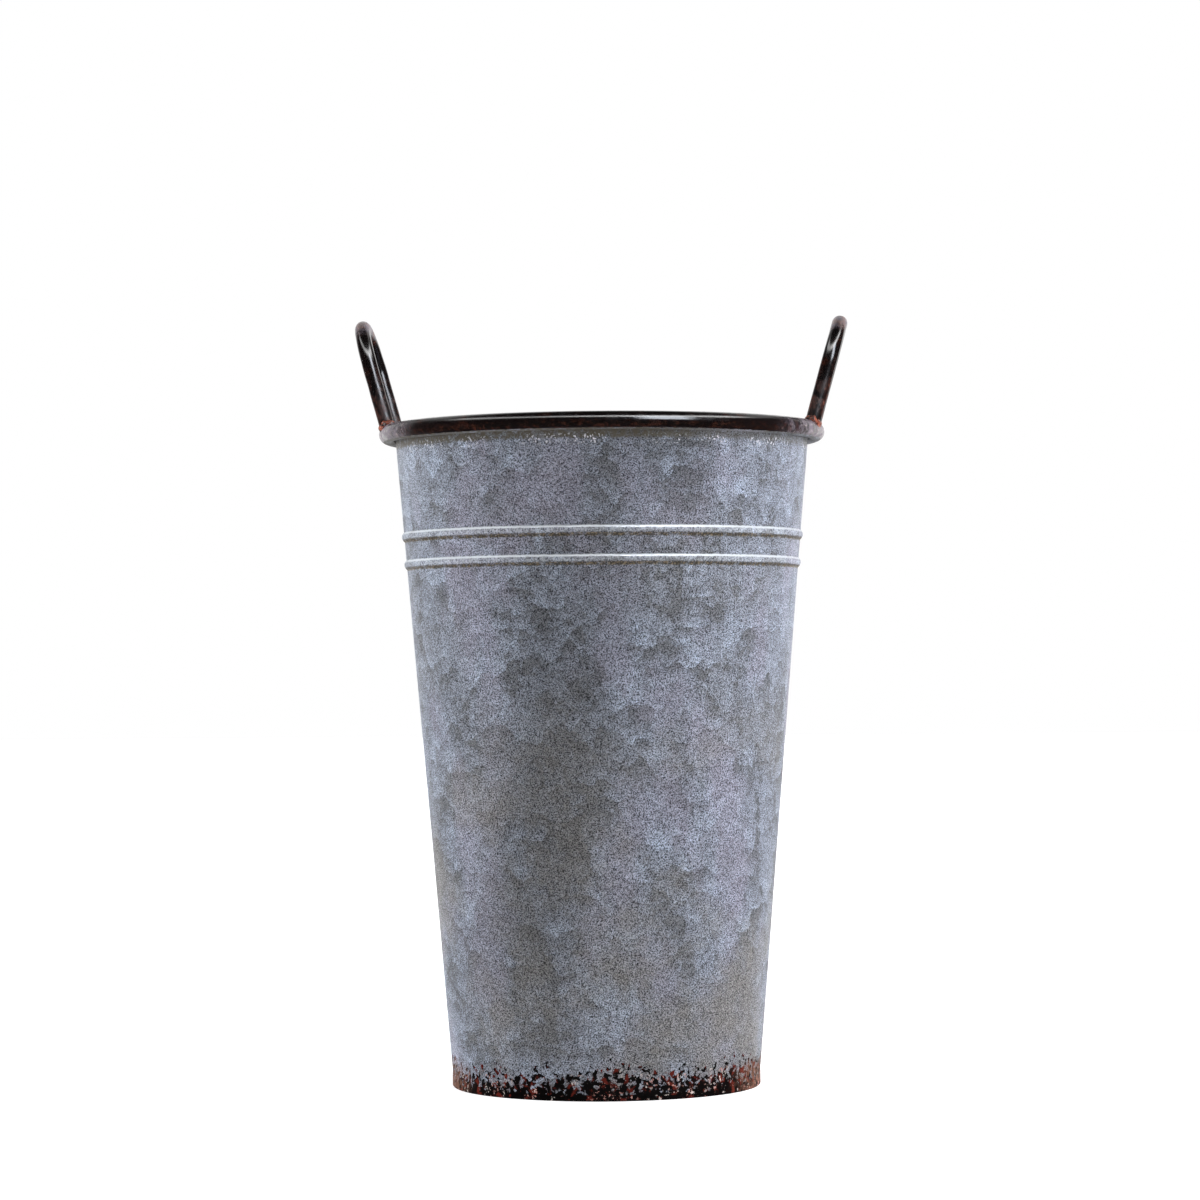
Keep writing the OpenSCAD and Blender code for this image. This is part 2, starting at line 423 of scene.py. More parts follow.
def handle_points(side, seed):
    """Rings of points from the front foot over the top to the back foot: middle line + r * (m, out)."""
    foot_point, along, outward = handle_frame(side)
    across = np.array([0.0, 1.0, 0.0])
    leg = np.linspace(0, 1, 30)[:-1]
    bend = np.radians(np.linspace(180, 0, 61))
    y = np.concatenate([np.full(len(leg), -LEG_HALF), LEG_HALF * np.cos(bend), np.full(len(leg), LEG_HALF)])
    m_y = np.concatenate([np.full(len(leg), -1.0), np.cos(bend), np.full(len(leg), 1.0)])
    m_t = np.concatenate([np.zeros(len(leg)), np.sin(bend), np.zeros(len(leg))])
    share = np.concatenate([leg, np.full(len(bend), 1.0), leg[::-1]])
    top = np.concatenate([np.zeros(len(leg)), LEG_HALF * np.sin(bend), np.zeros(len(leg))])
    run = np.linspace(0, 1, len(y))
    uneven = waves(AROUND[None, :], run[:, None], seed, turns=(1, 4), spans=(10, 70))
    r = ROD_R - ROD_TRIM + ROD_WAVE * uneven
    offset = r[..., None] * (np.cos(AROUND)[None, :, None] * (m_y[:, None, None] * across)
                             + np.sin(AROUND)[None, :, None] * outward)
    starts = foot_point + y[:, None, None] * across + offset
    t_foot = foot_height(starts, along)
    rise = t_foot + (LEG_H - t_foot) * share[:, None] + top[:, None]
    lift = np.where(share[:, None] < 1, rise, LEG_H + top[:, None])[..., None] * along
    bend_lift = (r * np.cos(AROUND)[None, :] * m_t[:, None])[..., None] * along
    return starts + lift + bend_lift


def foot_cap(ring, centre_line, along):
    """Rings inside a foot's edge, laid on the rim's surface, down to a last single point."""
    flat = ring - ((ring - centre_line) @ along)[:, None] * along
    scales = [1 - (k + 1) / (CAP_RINGS + 1) for k in range(CAP_RINGS)] + [0.0]
    layers = []
    for s in scales:
        start = centre_line + (flat - centre_line) * s
        layers.append(start + foot_height(start, along)[:, None] * along)
    return layers[:-1], layers[-1][:1]


def make_handle(name, side, node, seed):
    foot_point, along, _ = handle_frame(side)
    rows = handle_points(side, seed)
    front, front_pole = foot_cap(rows[0], foot_point - [0, LEG_HALF, 0], along)
    back, back_pole = foot_cap(rows[-1], foot_point + [0, LEG_HALF, 0], along)
    grid = np.concatenate([np.array(front[::-1]), rows, np.array(back)])
    total = grid.shape[0] * grid.shape[1]
    ring = np.arange(len(AROUND))
    ends = np.concatenate([fan_faces(ring[::-1], total), fan_faces(ring + total - len(AROUND), total + 1)])
    points = np.concatenate([grid.reshape(-1, 3), front_pole, back_pole])
    return make_piece(name, points, grid_faces(grid.shape[0], len(AROUND), wrap_rows=False), ends,
                      slot="dark_rod", stands_for=[node])


handles = [make_handle("handle_left_rod", -1, "handle_left", 21),
           make_handle("handle_right_rod", 1, "handle_right", 22)]


# %% [markdown]
# ## The welds
# A small run of weld metal holds each foot. Each could be sculpted, but a rule makes four that are
# alike and yet differ: a ring with a bulging profile, where one edge climbs the rod, the other
# lies on the rim, and the bulge swells and shrinks around the leg as weld drops do. The rim's
# surface decides where the lower edge lands, so the weld wraps over its shoulders.

# %% Weld surface
WELD_CLIMB = 2.3 * MM
WELD_SPREAD = 1.5 * MM
WELD_BULGE = 0.62 * MM


def weld_points(side, end, seed):
    """Closed loops from the rod's face over the bulge to the rim and back under it, around the leg."""
    foot_point, along, outward = handle_frame(side)
    axis_foot = foot_point + np.array([0, end * LEG_HALF, 0])
    spin = np.linspace(0, 2 * math.pi, 72, endpoint=False)
    direction = (np.cos(spin)[:, None] * np.array([0.0, 1.0, 0.0]) + np.sin(spin)[:, None] * outward)
    ripple = waves(spin, 0 * spin, seed, turns=(3, 11))
    start = axis_foot + ROD_R * direction
    joint = start + foot_height(start, along)[:, None] * along
    upper = joint + (WELD_CLIMB + 0.45 * MM * ripple)[:, None] * along - 0.25 * MM * direction
    reach = (ROD_R + WELD_SPREAD + 0.3 * MM * np.roll(ripple, 9))[:, None]
    lower, _ = to_roll(axis_foot + reach * direction + 2.2 * MM * along, ROLL - 0.1 * MM)
    share = np.linspace(0, 1, 13)[:, None, None]
    swell = (WELD_BULGE + 0.16 * MM * ripple)[:, None]
    outline = upper * (1 - share) + lower * share
    outline = outline + np.sin(math.pi * share) * swell * (direction + 0.5 * along)
    inner, _ = to_roll(joint - 0.6 * MM * direction, ROLL - 0.5 * MM)
    return np.concatenate([outline, inner[None]])


def make_weld(name, side, end, node, seed):
    grid = weld_points(side, end, seed)
    return make_piece(name, grid, grid_faces(grid.shape[0], grid.shape[1]),
                      slot="rusty_weld", stands_for=[node])


welds = []
for side_name, side_sign in (("left", -1), ("right", 1)):
    for end_name, end_sign in (("front", -1), ("back", 1)):
        label = f"{side_name}_{end_name}"
        welds.append(make_weld(f"weld_bead_{label}", side_sign, end_sign, f"weld_{label}", 40 + len(welds)))


# %% [markdown]
# ## A small kit for materials
# A finish is a sum of simple things: cells, noise, masks by height, and mixes between colours.
# Its nodes could be placed by hand, but they are easier to read as Python expressions, so this kit
# wires them: an input may be a number, a colour or another node's output. All patterns read Object
# coordinates in metres, so a scale of 1000 is a pattern of about one millimetre.

# %% Node kit
class Nodes:
    """Adds nodes to one node tree and joins them."""

    def __init__(self, tree):
        self.tree = tree

    def node(self, kind, inputs=None, **settings):
        made = self.tree.nodes.new("ShaderNode" + kind)
        for key, value in settings.items():
            setattr(made, key, value)
        for key, value in (inputs or {}).items():
            self.feed(made.inputs[key], value)
        return made

    def feed(self, socket, value):
        """Links a node's output, or sets a constant; a colour of three numbers gets an alpha of one."""
        if isinstance(value, bpy.types.NodeSocket):
            self.tree.links.new(value, socket)
        elif socket.type == "RGBA":
            socket.default_value = (*value, 1.0)
        else:
            socket.default_value = value

    def maths(self, operation, *values):
        return self.node("Math", dict(enumerate(values)), operation=operation).outputs[0]

    def ramp(self, value, low, high, start=0.0, end=1.0):
        """Smooth rise from start to end while value goes from low to high."""
        inputs = {"Value": value, "From Min": low, "From Max": high, "To Min": start, "To Max": end}
        return self.node("MapRange", inputs, interpolation_type="SMOOTHSTEP").outputs[0]

    def value_mix(self, factor, first, second):
        """first * (1 - factor) + second * factor, for plain numbers."""
        return self.node("Mix", {0: factor, 2: first, 3: second}, data_type="FLOAT").outputs[0]


class Finish(Nodes):
    """One material, and the few kinds of pattern that it needs."""

    def __init__(self, name):
        self.material = bpy.data.materials.new(name)
        self.material.use_nodes = True
        super().__init__(self.material.node_tree)
        self.shader = self.tree.nodes["Principled BSDF"]
        self.place = self.node("TexCoord").outputs["Object"]
        self.x, self.y, self.z = self.node("SeparateXYZ", {0: self.place}).outputs

    def noise(self, scale, detail=2.0, rough=0.5, where=None, distortion=0.0):
        inputs = {"Vector": where or self.place, "Scale": scale, "Detail": detail,
                  "Roughness": rough, "Distortion": distortion}
        return self.node("TexNoise", inputs).outputs["Fac"]

    def stretched(self, z=1.0, shift=(0, 0, 0)):
        """The place, moved, and with its height multiplied by z: below one it draws a pattern out."""
        inputs = {"Vector": self.place, "Location": shift, "Scale": (1, 1, z)}
        return self.node("Mapping", inputs).outputs[0]

    def warped(self, scale, amount, detail):
        """The place, pushed about by a coloured noise: place + amount * (noise - 0.5)."""
        inputs = {"Vector": self.place, "Scale": scale, "Detail": detail}
        push = self.node("TexNoise", inputs).outputs["Color"]
        centred = self.node("VectorMath", {0: push, 1: (0.5, 0.5, 0.5)}, operation="SUBTRACT")
        pushed = self.node("VectorMath", {0: centred.outputs[0], "Scale": amount}, operation="SCALE")
        return self.node("VectorMath", {0: self.place, 1: pushed.outputs[0]}, operation="ADD").outputs[0]

    def blend(self, factor, first, second, mode="MIX"):
        """first * (1 - factor) + second * factor, for colours."""
        inputs = {0: factor, 6: first, 7: second}
        return self.node("Mix", inputs, data_type="RGBA", blend_type=mode).outputs[2]

    def band(self, low, high, soft, value=None):
        """One between low and high and zero outside them, with edges soft metres wide."""
        value = self.z if value is None else value
        rise = self.ramp(value, low - soft / 2, low + soft / 2)
        fall = self.ramp(value, high - soft / 2, high + soft / 2, 1.0, 0.0)
        return self.maths("MULTIPLY", rise, fall)

    def sideways(self, low, high, start=0.0, end=1.0):
        """Smooth change with the distance to the left or right of the bucket's middle."""
        return self.ramp(self.maths("ABSOLUTE", self.x), low, high, start, end)

    def bump(self, height, depth):
        """Turns a height from 0 to 1 into a relief that is depth metres deep."""
        made = self.node("Bump", {"Height": height, "Distance": depth, "Strength": 1.0})
        self.feed(self.shader.inputs["Normal"], made.outputs[0])

    def set(self, **sockets):
        for key, value in sockets.items():
            self.feed(self.shader.inputs[key.replace("_", " ")], value)


def lay(piece, finish):
    piece.data.materials.clear()
    piece.data.materials.append(finish.material)
    print(f"{piece.name}: {finish.material.name}, {len(finish.tree.nodes)} nodes")


# %% [markdown]
# ## Zinc
# Hot-dipped zinc freezes into flakes about a centimetre across, each with its own tone and with
# feathery, scalloped borders where one grew over the next. Flakes could be drawn one by one as
# geometry, but they have no thickness that shows, so they are tones. Three sets of warped cells
# of different sizes give them, the slope across each cell gives the overlap, and noise gives the
# clouds, the faint runs and the matt, grainy skin of weathered zinc. The same recipe serves the
# side and the base.

# %% Flakes and tone
FLAKE_SETS = ((68, 0, 0.50), (120, 1, 0.42), (230, 2, 0.24))  # cells per metre, colour channel, share
TONE_MEAN = 1.450
SIDE_CALM = 0.65


def flakes(f, where, scale, channel):
    """Tone per cell, between about 0 and 1: own tone + distance from the cell's point along its tip."""
    cell = f.node("TexVoronoi", {"Vector": where, "Scale": scale})
    own = f.node("SeparateColor", {0: cell.outputs["Color"]}).outputs[channel]
    away = f.node("VectorMath", {0: where, 1: cell.outputs["Position"]}, operation="SUBTRACT").outputs[0]
    tip = f.node("VectorMath", {0: cell.outputs["Color"], 1: (0.50, 0.50, 0.95)}, operation="SUBTRACT")
    along = f.node("VectorMath", {0: away, 1: tip.outputs[0]}, operation="DOT_PRODUCT").outputs["Value"]
    return f.maths("MULTIPLY_ADD", along, 1.1 * scale, f.maths("MULTIPLY_ADD", own, 0.5, 0.25))


def zinc_tone(f):
    """Weighted sum of flakes, clouds, fine mottling and runs, brought to a mean of one half; and grain."""
    where = f.warped(110, 0.0085, 4.0)
    layers = [(flakes(f, where, scale, channel), share) for scale, channel, share in FLAKE_SETS]
    layers += [(f.noise(34, 3.0, 0.55, where=f.stretched(z=0.45)), 0.95),
               (f.noise(560, 2.0, 0.6), 0.48),
               (f.noise(110, 3.0, 0.6, where=f.stretched(z=0.06)), 0.30)]
    tone = 0.0
    for layer, share in layers:
        tone = f.maths("MULTIPLY_ADD", layer, share, tone)
    calm = f.sideways(45 * MM, 90 * MM, 1.0, SIDE_CALM)
    tone = f.maths("MULTIPLY_ADD", f.maths("SUBTRACT", tone, TONE_MEAN), calm, 0.50)
    return tone, f.noise(1900, 1.0, 0.7)


# %% [markdown]
# ### Zinc's colours
# Dark flakes are olive-grey and light ones blue-grey. Years of handling leave lilac places. A painted
# warm reflection tints the zinc lower down, most of all in a patch low in the middle, and a painted
# shade dims a band that runs down the front on a slant and a patch near the rim. One colour ramp
# would make every flake alike, so each kind has its own mask.

# %% Zinc colour
ZINC_DARK = (0.130, 0.135, 0.150)
ZINC_MID = (0.222, 0.241, 0.288)
ZINC_LIGHT = (0.332, 0.374, 0.460)
# colour of the painted warm reflection on the zinc
ZINC_WARM_REFLECTION = (0.205, 0.194, 0.184)
ZINC_LILAC = (0.274, 0.262, 0.328)
# how far the painted shade dims the zinc
PAINTED_SHADE_DIM = 0.76
PAINTED_SHADE_SLANT = 0.2


def painted_shade(f):
    """How much light a painted shade leaves: a slanting band of x - 0.2 * z, and a patch near the rim."""
    # painted shade: a slanting band down the front and a patch near the rim
    slanting = f.maths("MULTIPLY_ADD", f.z, -PAINTED_SHADE_SLANT, f.x)
    run = f.maths("MULTIPLY", f.band(-68 * MM, -24 * MM, 30 * MM, slanting), f.ramp(f.z, 20 * MM, 80 * MM))
    patch = f.maths("MULTIPLY", f.band(5 * MM, 52 * MM, 30 * MM, f.x), f.ramp(f.z, 240 * MM, 275 * MM))
    return f.ramp(f.maths("MAXIMUM", run, patch), 0.0, 1.0, 1.0, PAINTED_SHADE_DIM)


def zinc_colour(f, tone, grain):
    """Dark, middle and light zinc by tone, then lilac places and a painted warm reflection, times the grain
    and a painted shade.
    """
    low = f.blend(f.ramp(tone, 0.10, 0.50), ZINC_DARK, ZINC_MID)
    colour = f.blend(f.ramp(tone, 0.45, 0.95), low, ZINC_LIGHT)
    lilac = f.ramp(f.noise(30, 3.0, 0.6, where=f.stretched(z=0.5)), 0.48, 0.68, 0.0, 0.6)
    colour = f.blend(lilac, colour, ZINC_LILAC)
    # painted warm reflection: stronger lower down, and most of all in a patch low in the middle
    lower_reflection = f.ramp(f.z, 90 * MM, 210 * MM, 0.85, 0.15)
    warm = f.maths("MULTIPLY", lower_reflection, f.ramp(f.noise(14, 4.0, 0.6), 0.44, 0.66))
    wear_and_reflection = f.maths("MULTIPLY", f.band(-48 * MM, 6 * MM, 40 * MM, f.x), f.band(25 * MM, 170 * MM, 70 * MM))
    wear_and_reflection = f.maths("MULTIPLY", wear_and_reflection, f.ramp(f.noise(40, 3.0, 0.6), 0.35, 0.60, 0.2, 0.7))
    colour = f.blend(f.maths("MAXIMUM", warm, wear_and_reflection), colour, ZINC_WARM_REFLECTION)
    # the grain, times a painted shade on the front and near the rim
    grain_and_shade = f.maths("MULTIPLY", f.ramp(grain, 0.30, 0.70, 0.05, 1.95), painted_shade(f))
    grey = f.node("CombineColor", {0: grain_and_shade, 1: grain_and_shade, 2: grain_and_shade}).outputs[0]
    return f.blend(1.0, colour, grey, "MULTIPLY")


# %% [markdown]
# ## Dark paint
# The roll and the handles were brushed with black-brown paint that lets rust through in patches,
# with brighter specks inside them. Specks scattered evenly would look like dust, so they are
# allowed only where a patch is.

# %% Paint
PAINT_DARK = (0.006, 0.004, 0.004)
RUST_DEEP = (0.026, 0.008, 0.005)
RUST_WARM = (0.120, 0.030, 0.014)


def paint_colour(f):
    """Paint, blended to deep rust by patches and to warm rust by spots times patches."""
    patches = f.ramp(f.noise(130, 4.0, 0.7), 0.52, 0.68)
    spots = f.ramp(f.noise(700, 2.0, 0.6), 0.58, 0.70)
    colour = f.blend(patches, PAINT_DARK, RUST_DEEP)
    return f.blend(f.maths("MULTIPLY", spots, f.maths("MULTIPLY", patches, 0.7)), colour, RUST_WARM)


# %% [markdown]
# ## Painted highlight and dirt on the beads
# Hands and neighbouring buckets polish the crests of the beads, which makes them smoother, and dirt
# gathers in the corner below each. A painted highlight, a bright line above each bead's middle and a
# lighter mottled body, stands for the light on their upper flanks. The shape of the bead is real
# geometry; the highlight and the dirt follow it by height, with a little noise added to the height
# so that no edge is a ruled line.

# %% Beads
GRIME = (0.055, 0.046, 0.032)
GRIME_RUSTY = (0.220, 0.165, 0.095)
# colour of the painted highlight on the beads
CREST_HIGHLIGHT = (0.760, 0.800, 0.840)


def beads_highlight_and_grime(f, colour):
    """Per bead: a painted highlight as a mottled body and a bright line above its middle, and broken grime
    below it.
    """
    fringe = f.noise(430, 3.0, 0.6)
    wobble = f.maths("MULTIPLY_ADD", f.maths("SUBTRACT", fringe, 0.5), 0.8 * MM, f.z)
    ends = f.sideways(76 * MM, 91 * MM, 1.0, 0.30)
    polish = 0.0
    for centre in BEAD_Z:
        # painted highlight on each bead's upper flank: a lighter mottled body and a bright line
        body = f.band(centre - 1.0 * MM, centre + 1.7 * MM, 0.8 * MM)
        mottled = f.maths("MULTIPLY", body, f.ramp(f.noise(800, 2.0, 0.7), 0.35, 0.65, 0.02, 0.40))
        line = f.maths("MULTIPLY", f.band(centre + 0.95 * MM, centre + 1.95 * MM, 0.5 * MM, wobble), 0.85)
        shine = f.maths("MULTIPLY", f.maths("MAXIMUM", mottled, line), ends)
        colour = f.blend(shine, colour, CREST_HIGHLIGHT)
        polish = f.maths("MAXIMUM", polish, line)
        under = f.band(centre - 2.8 * MM, centre - 1.3 * MM, 0.6 * MM, wobble)
        dirt = f.blend(f.ramp(f.noise(950, 2.0, 0.6), 0.50, 0.60), GRIME, GRIME_RUSTY)
        broken = f.ramp(fringe, 0.32, 0.55, 0.30, 0.95)
        colour = f.blend(f.maths("MULTIPLY", under, broken), colour, dirt)
    return colour, polish


# %% [markdown]
# ## The rusting foot
# The foot stands in the wet. Black paint and red rust rise from it in blots that thin out with
# height, with pale chips between them and a browner, softer rust at the two sides. Blots are
# noise compared with the height: the higher a point is, the stronger the noise has to be.

# %% Foot
FOOT_BLACK = (0.003, 0.002, 0.002)
FOOT_RED = (0.115, 0.015, 0.009)
FOOT_BROWN = (0.155, 0.070, 0.045)
CHIP_PALE = (0.640, 0.560, 0.520)
CHIP_PINK = (0.520, 0.260, 0.220)


def foot_blots(f, high):
    """One where blot noise - 0.27 * high is above about 0.31, and on a solid edge at the bottom."""
    blot = f.noise(440, 2.5, 0.55, distortion=0.4)
    black = f.ramp(f.maths("MULTIPLY_ADD", high, -0.27, blot), 0.305, 0.325)
    solid = f.ramp(f.maths("MULTIPLY_ADD", blot, -6 * MM, f.z), 0.2 * MM, 1.4 * MM, 1.0, 0.0)
    return f.maths("MAXIMUM", black, solid)


def rusting_foot(f, colour):
    """Red stain, black and red blots, brown sides and pale chips, in this order; and the blots alone."""
    reach = f.ramp(f.noise(45, 2.0, 0.5), 0.3, 0.7, 11 * MM, 16 * MM)
    high = f.maths("DIVIDE", f.z, reach)
    foot = foot_blots(f, high)
    red = f.ramp(f.noise(230, 4.0, 0.65, where=f.stretched(shift=(3, 1, 2))), 0.54, 0.60)
    dark = f.blend(f.maths("MULTIPLY", red, 0.9), FOOT_BLACK, FOOT_RED)
    stain = f.maths("MULTIPLY", f.ramp(high, 0.35, 1.0, 0.5, 0.0), f.ramp(f.noise(240, 3.0), 0.48, 0.60))
    colour = f.blend(f.maths("MULTIPLY", stain, 0.6), colour, FOOT_RED)
    colour = f.blend(foot, colour, dark)

    brown_top = f.maths("MULTIPLY_ADD", f.noise(120, 3.0, 0.6), -16 * MM, f.z)
    brown = f.maths("MULTIPLY", f.sideways(55 * MM, 69 * MM), f.ramp(brown_top, 1 * MM, 7 * MM, 0.95, 0.0))
    brown = f.maths("MULTIPLY", brown, f.ramp(f.noise(420, 3.0, 0.7), 0.42, 0.56))
    colour = f.blend(brown, colour, FOOT_BROWN)

    chips = f.ramp(f.noise(600, 3.0, 0.7, where=f.stretched(shift=(1, 4, 2))), 0.590, 0.620)
    chips = f.maths("MULTIPLY", chips, f.ramp(high, 0.75, 1.00, 1.0, 0.0))
    clusters = f.ramp(f.noise(130, 2.0, where=f.stretched(shift=(7, 2, 5))), 0.50, 0.56)
    chip_tone = f.blend(f.ramp(f.noise(150, 2.0), 0.42, 0.56), CHIP_PALE, CHIP_PINK)
    return f.blend(f.maths("MULTIPLY", chips, clusters), colour, chip_tone), foot


# %% [markdown]
# ## Just below and on the roll
# Where the sheet goes under the roll, a painted shadow with grime darkens it, with bright flecks and
# nicks below that. The roll itself is painted dark, rusty underneath, and worn to a lilac grey at
# both sides, where the handles are carried. The strip of dark paint could be masked by height, but
# the roll turns over itself, so the mesh's own attribute says where it is.

# %% Rim
# colour of the painted shadow and grime under the roll
SHADE = (0.105, 0.090, 0.064)
NICK_PALE = (0.80, 0.79, 0.84)
WORN_LILAC = (0.140, 0.112, 0.140)
WORN_PALE = (0.420, 0.360, 0.350)
ROLL_RUST = (0.042, 0.012, 0.006)


def below_roll(f, colour, fringe):
    """Painted shadow and grime from about 290 mm up, bright flecks just under it and rare nicks from the
    beads up.
    """
    # painted shadow under the roll, with a brownish grime tint
    shade = f.ramp(f.maths("MULTIPLY_ADD", fringe, 3.0 * MM, f.z), 289.6 * MM, 291.2 * MM)
    shade = f.maths("MULTIPLY", shade, f.ramp(f.noise(380, 3.0, 0.6), 0.30, 0.60, 0.45, 0.95))
    shade = f.maths("MULTIPLY", shade, f.ramp(f.x, 20 * MM, 80 * MM, 1.0, 0.55))
    colour = f.blend(shade, colour, SHADE)
    strip = f.band(286.5 * MM, 290.5 * MM, 3 * MM)
    scattered = f.maths("MULTIPLY", f.ramp(f.noise(60, 2.0), 0.40, 0.58), strip)
    flecks = f.maths("MULTIPLY", scattered, f.ramp(f.noise(1000, 1.0, 0.5), 0.60, 0.68))
    nicks = f.maths("MULTIPLY", f.ramp(f.noise(650, 3.0, 0.6), 0.74, 0.77), f.ramp(f.z, 240 * MM, 262 * MM))
    return f.blend(f.maths("MAXIMUM", flecks, nicks), colour, NICK_PALE)


def roll_painted(f, colour, fringe):
    """Paint where the attribute + 0.35 * (noise - 0.5) is above one half; and its mask and wear."""
    strip = f.node("Attribute", attribute_name="paint").outputs["Fac"]
    paint = f.ramp(f.maths("MULTIPLY_ADD", f.maths("SUBTRACT", fringe, 0.5), 0.35, strip), 0.47, 0.53)
    under_roll = f.maths("MULTIPLY", f.ramp(f.z, RIM_Z - 2 * MM, RIM_Z + 1.5 * MM, 0.9, 0.0),
                         f.ramp(f.noise(520, 4.0, 0.7), 0.51, 0.63))
    mottling = f.ramp(f.noise(220, 4.0, 0.7), 0.38, 0.60, 0.15, 1.0)
    worn = f.maths("MULTIPLY", f.sideways(78 * MM, 97 * MM), mottling)
    worn_tone = f.blend(f.ramp(f.noise(700, 3.0, 0.7), 0.52, 0.66), WORN_LILAC, WORN_PALE)
    rim_colour = f.blend(under_roll, paint_colour(f), ROLL_RUST)
    rim_colour = f.blend(f.maths("MULTIPLY", worn, 0.9), rim_colour, worn_tone)
    return f.blend(paint, colour, rim_colour), paint, worn


# %% [markdown]
# ## The side's finish
# The layers now go over each other: zinc, the beads' painted highlight and grime, the painted shadow
# and grime under the roll, paint, rust; the real ones in the order in which they came on the real
# bucket. Weathered zinc is only partly mirror-like, so it is a third metal; the paint is a glossy
# coat and the rust has almost no shine.

# %% Side finish
ZINC_METAL = 0.32
SIDE_RELIEF = 0.25 * MM


def side_roughness(f, tone, grain, polish, paint, worn, foot):
    """Satin zinc, smoother on polished crests; dull rust; glossy paint that is duller where worn."""
    rough = f.maths("MULTIPLY_ADD", grain, 0.10, f.ramp(tone, 0.1, 0.9, 0.56, 0.44))
    rough = f.maths("MULTIPLY_ADD", polish, -0.22, rough)
    rough = f.value_mix(foot, rough, 0.55)
    gloss = f.ramp(f.noise(210, 3.0), 0.3, 0.7, 0.13, 0.24)
    return f.value_mix(paint, rough, f.maths("MULTIPLY_ADD", worn, 0.3, gloss))


def side_finish():
    f = Finish("galvanised_side")
    tone, grain = zinc_tone(f)
    colour, polish = beads_highlight_and_grime(f, zinc_colour(f, tone, grain))
    fringe = f.noise(420, 3.0, 0.6)
    colour = below_roll(f, colour, fringe)
    colour, paint, worn = roll_painted(f, colour, fringe)
    colour, foot = rusting_foot(f, colour)

    relief = f.maths("MULTIPLY_ADD", grain, 0.10, f.maths("MULTIPLY", tone, 0.12))
    relief = f.maths("MULTIPLY_ADD", foot, 0.5, relief)
    relief = f.maths("MULTIPLY_ADD", f.noise(260, 3.0, 0.6), f.ramp(paint, 0, 1, 0.25, 0.10), relief)
    f.set(Base_Color=colour, Roughness=side_roughness(f, tone, grain, polish, paint, worn, foot),
          Metallic=f.ramp(f.maths("MAXIMUM", paint, foot), 0.0, 1.0, ZINC_METAL, 0.0),
          Specular_IOR_Level=f.value_mix(paint, f.value_mix(foot, 0.5, 0.05), 1.0))
    f.bump(relief, SIDE_RELIEF)
    return f


lay(wall, side_finish())

# %% [markdown]
# ## Base, solder and wire
# The base is the same zinc, but water has stood on it, so dull brownish blooms cover part of it.
# Solder is a brighter, streaky metal. The wire is drawn steel and stays the frame's own piece,
# because the roll hides all of it; it needs no more than a plain metal with fine streaks.

# %% Base, solder and wire finishes
BLOOM = (0.17, 0.155, 0.14)
SOLDER_DARK, SOLDER_LIGHT = (0.30, 0.30, 0.31), (0.52, 0.53, 0.55)
WIRE_DARK, WIRE_LIGHT = (0.20, 0.20, 0.21), (0.34, 0.34, 0.35)


def base_finish():
    f = Finish("galvanised_base")
    tone, grain = zinc_tone(f)
    bloom = f.ramp(f.noise(45, 4.0, 0.6), 0.45, 0.7, 0.0, 0.6)
    colour = f.blend(bloom, zinc_colour(f, tone, grain), BLOOM)
    f.set(Base_Color=colour, Roughness=f.ramp(tone, 0.1, 0.9, 0.62, 0.46), Metallic=0.8)
    f.bump(f.maths("MULTIPLY_ADD", grain, 0.5, f.noise(200, 3.0)), 0.12 * MM)
    return f


def solder_finish():
    f = Finish("dull_solder")
    streak = f.noise(300, 3.0, 0.6)
    f.set(Base_Color=f.blend(streak, SOLDER_DARK, SOLDER_LIGHT),
          Roughness=f.ramp(streak, 0.3, 0.7, 0.35, 0.55), Metallic=0.9)
    f.bump(streak, 0.2 * MM)
    return f


def wire_finish():
    f = Finish("drawn_wire")
    colour = f.blend(f.noise(900, 2.0), WIRE_DARK, WIRE_LIGHT)
    f.set(Base_Color=colour, Roughness=0.4, Metallic=1.0)
    return f


lay(base, base_finish())
lay(solder, solder_finish())
lay(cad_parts["rim_wire"], wire_finish())

# %% [markdown]
# ## Dark rod
# The rods were brushed with the same black-brown paint as the rim. Hands have worn it to a greyish
# pink on the tops of the loops, and rust shows through on the lower legs. Both are masks by height
# with noise added, so the wear ends raggedly.

# %% Rod finish
ROD_RUST = (0.045, 0.012, 0.007)
ROD_RUST_BRIGHT = (0.150, 0.040, 0.020)
CAP_LILAC = (0.140, 0.115, 0.142)
CAP_PINK = (0.190, 0.120, 0.112)


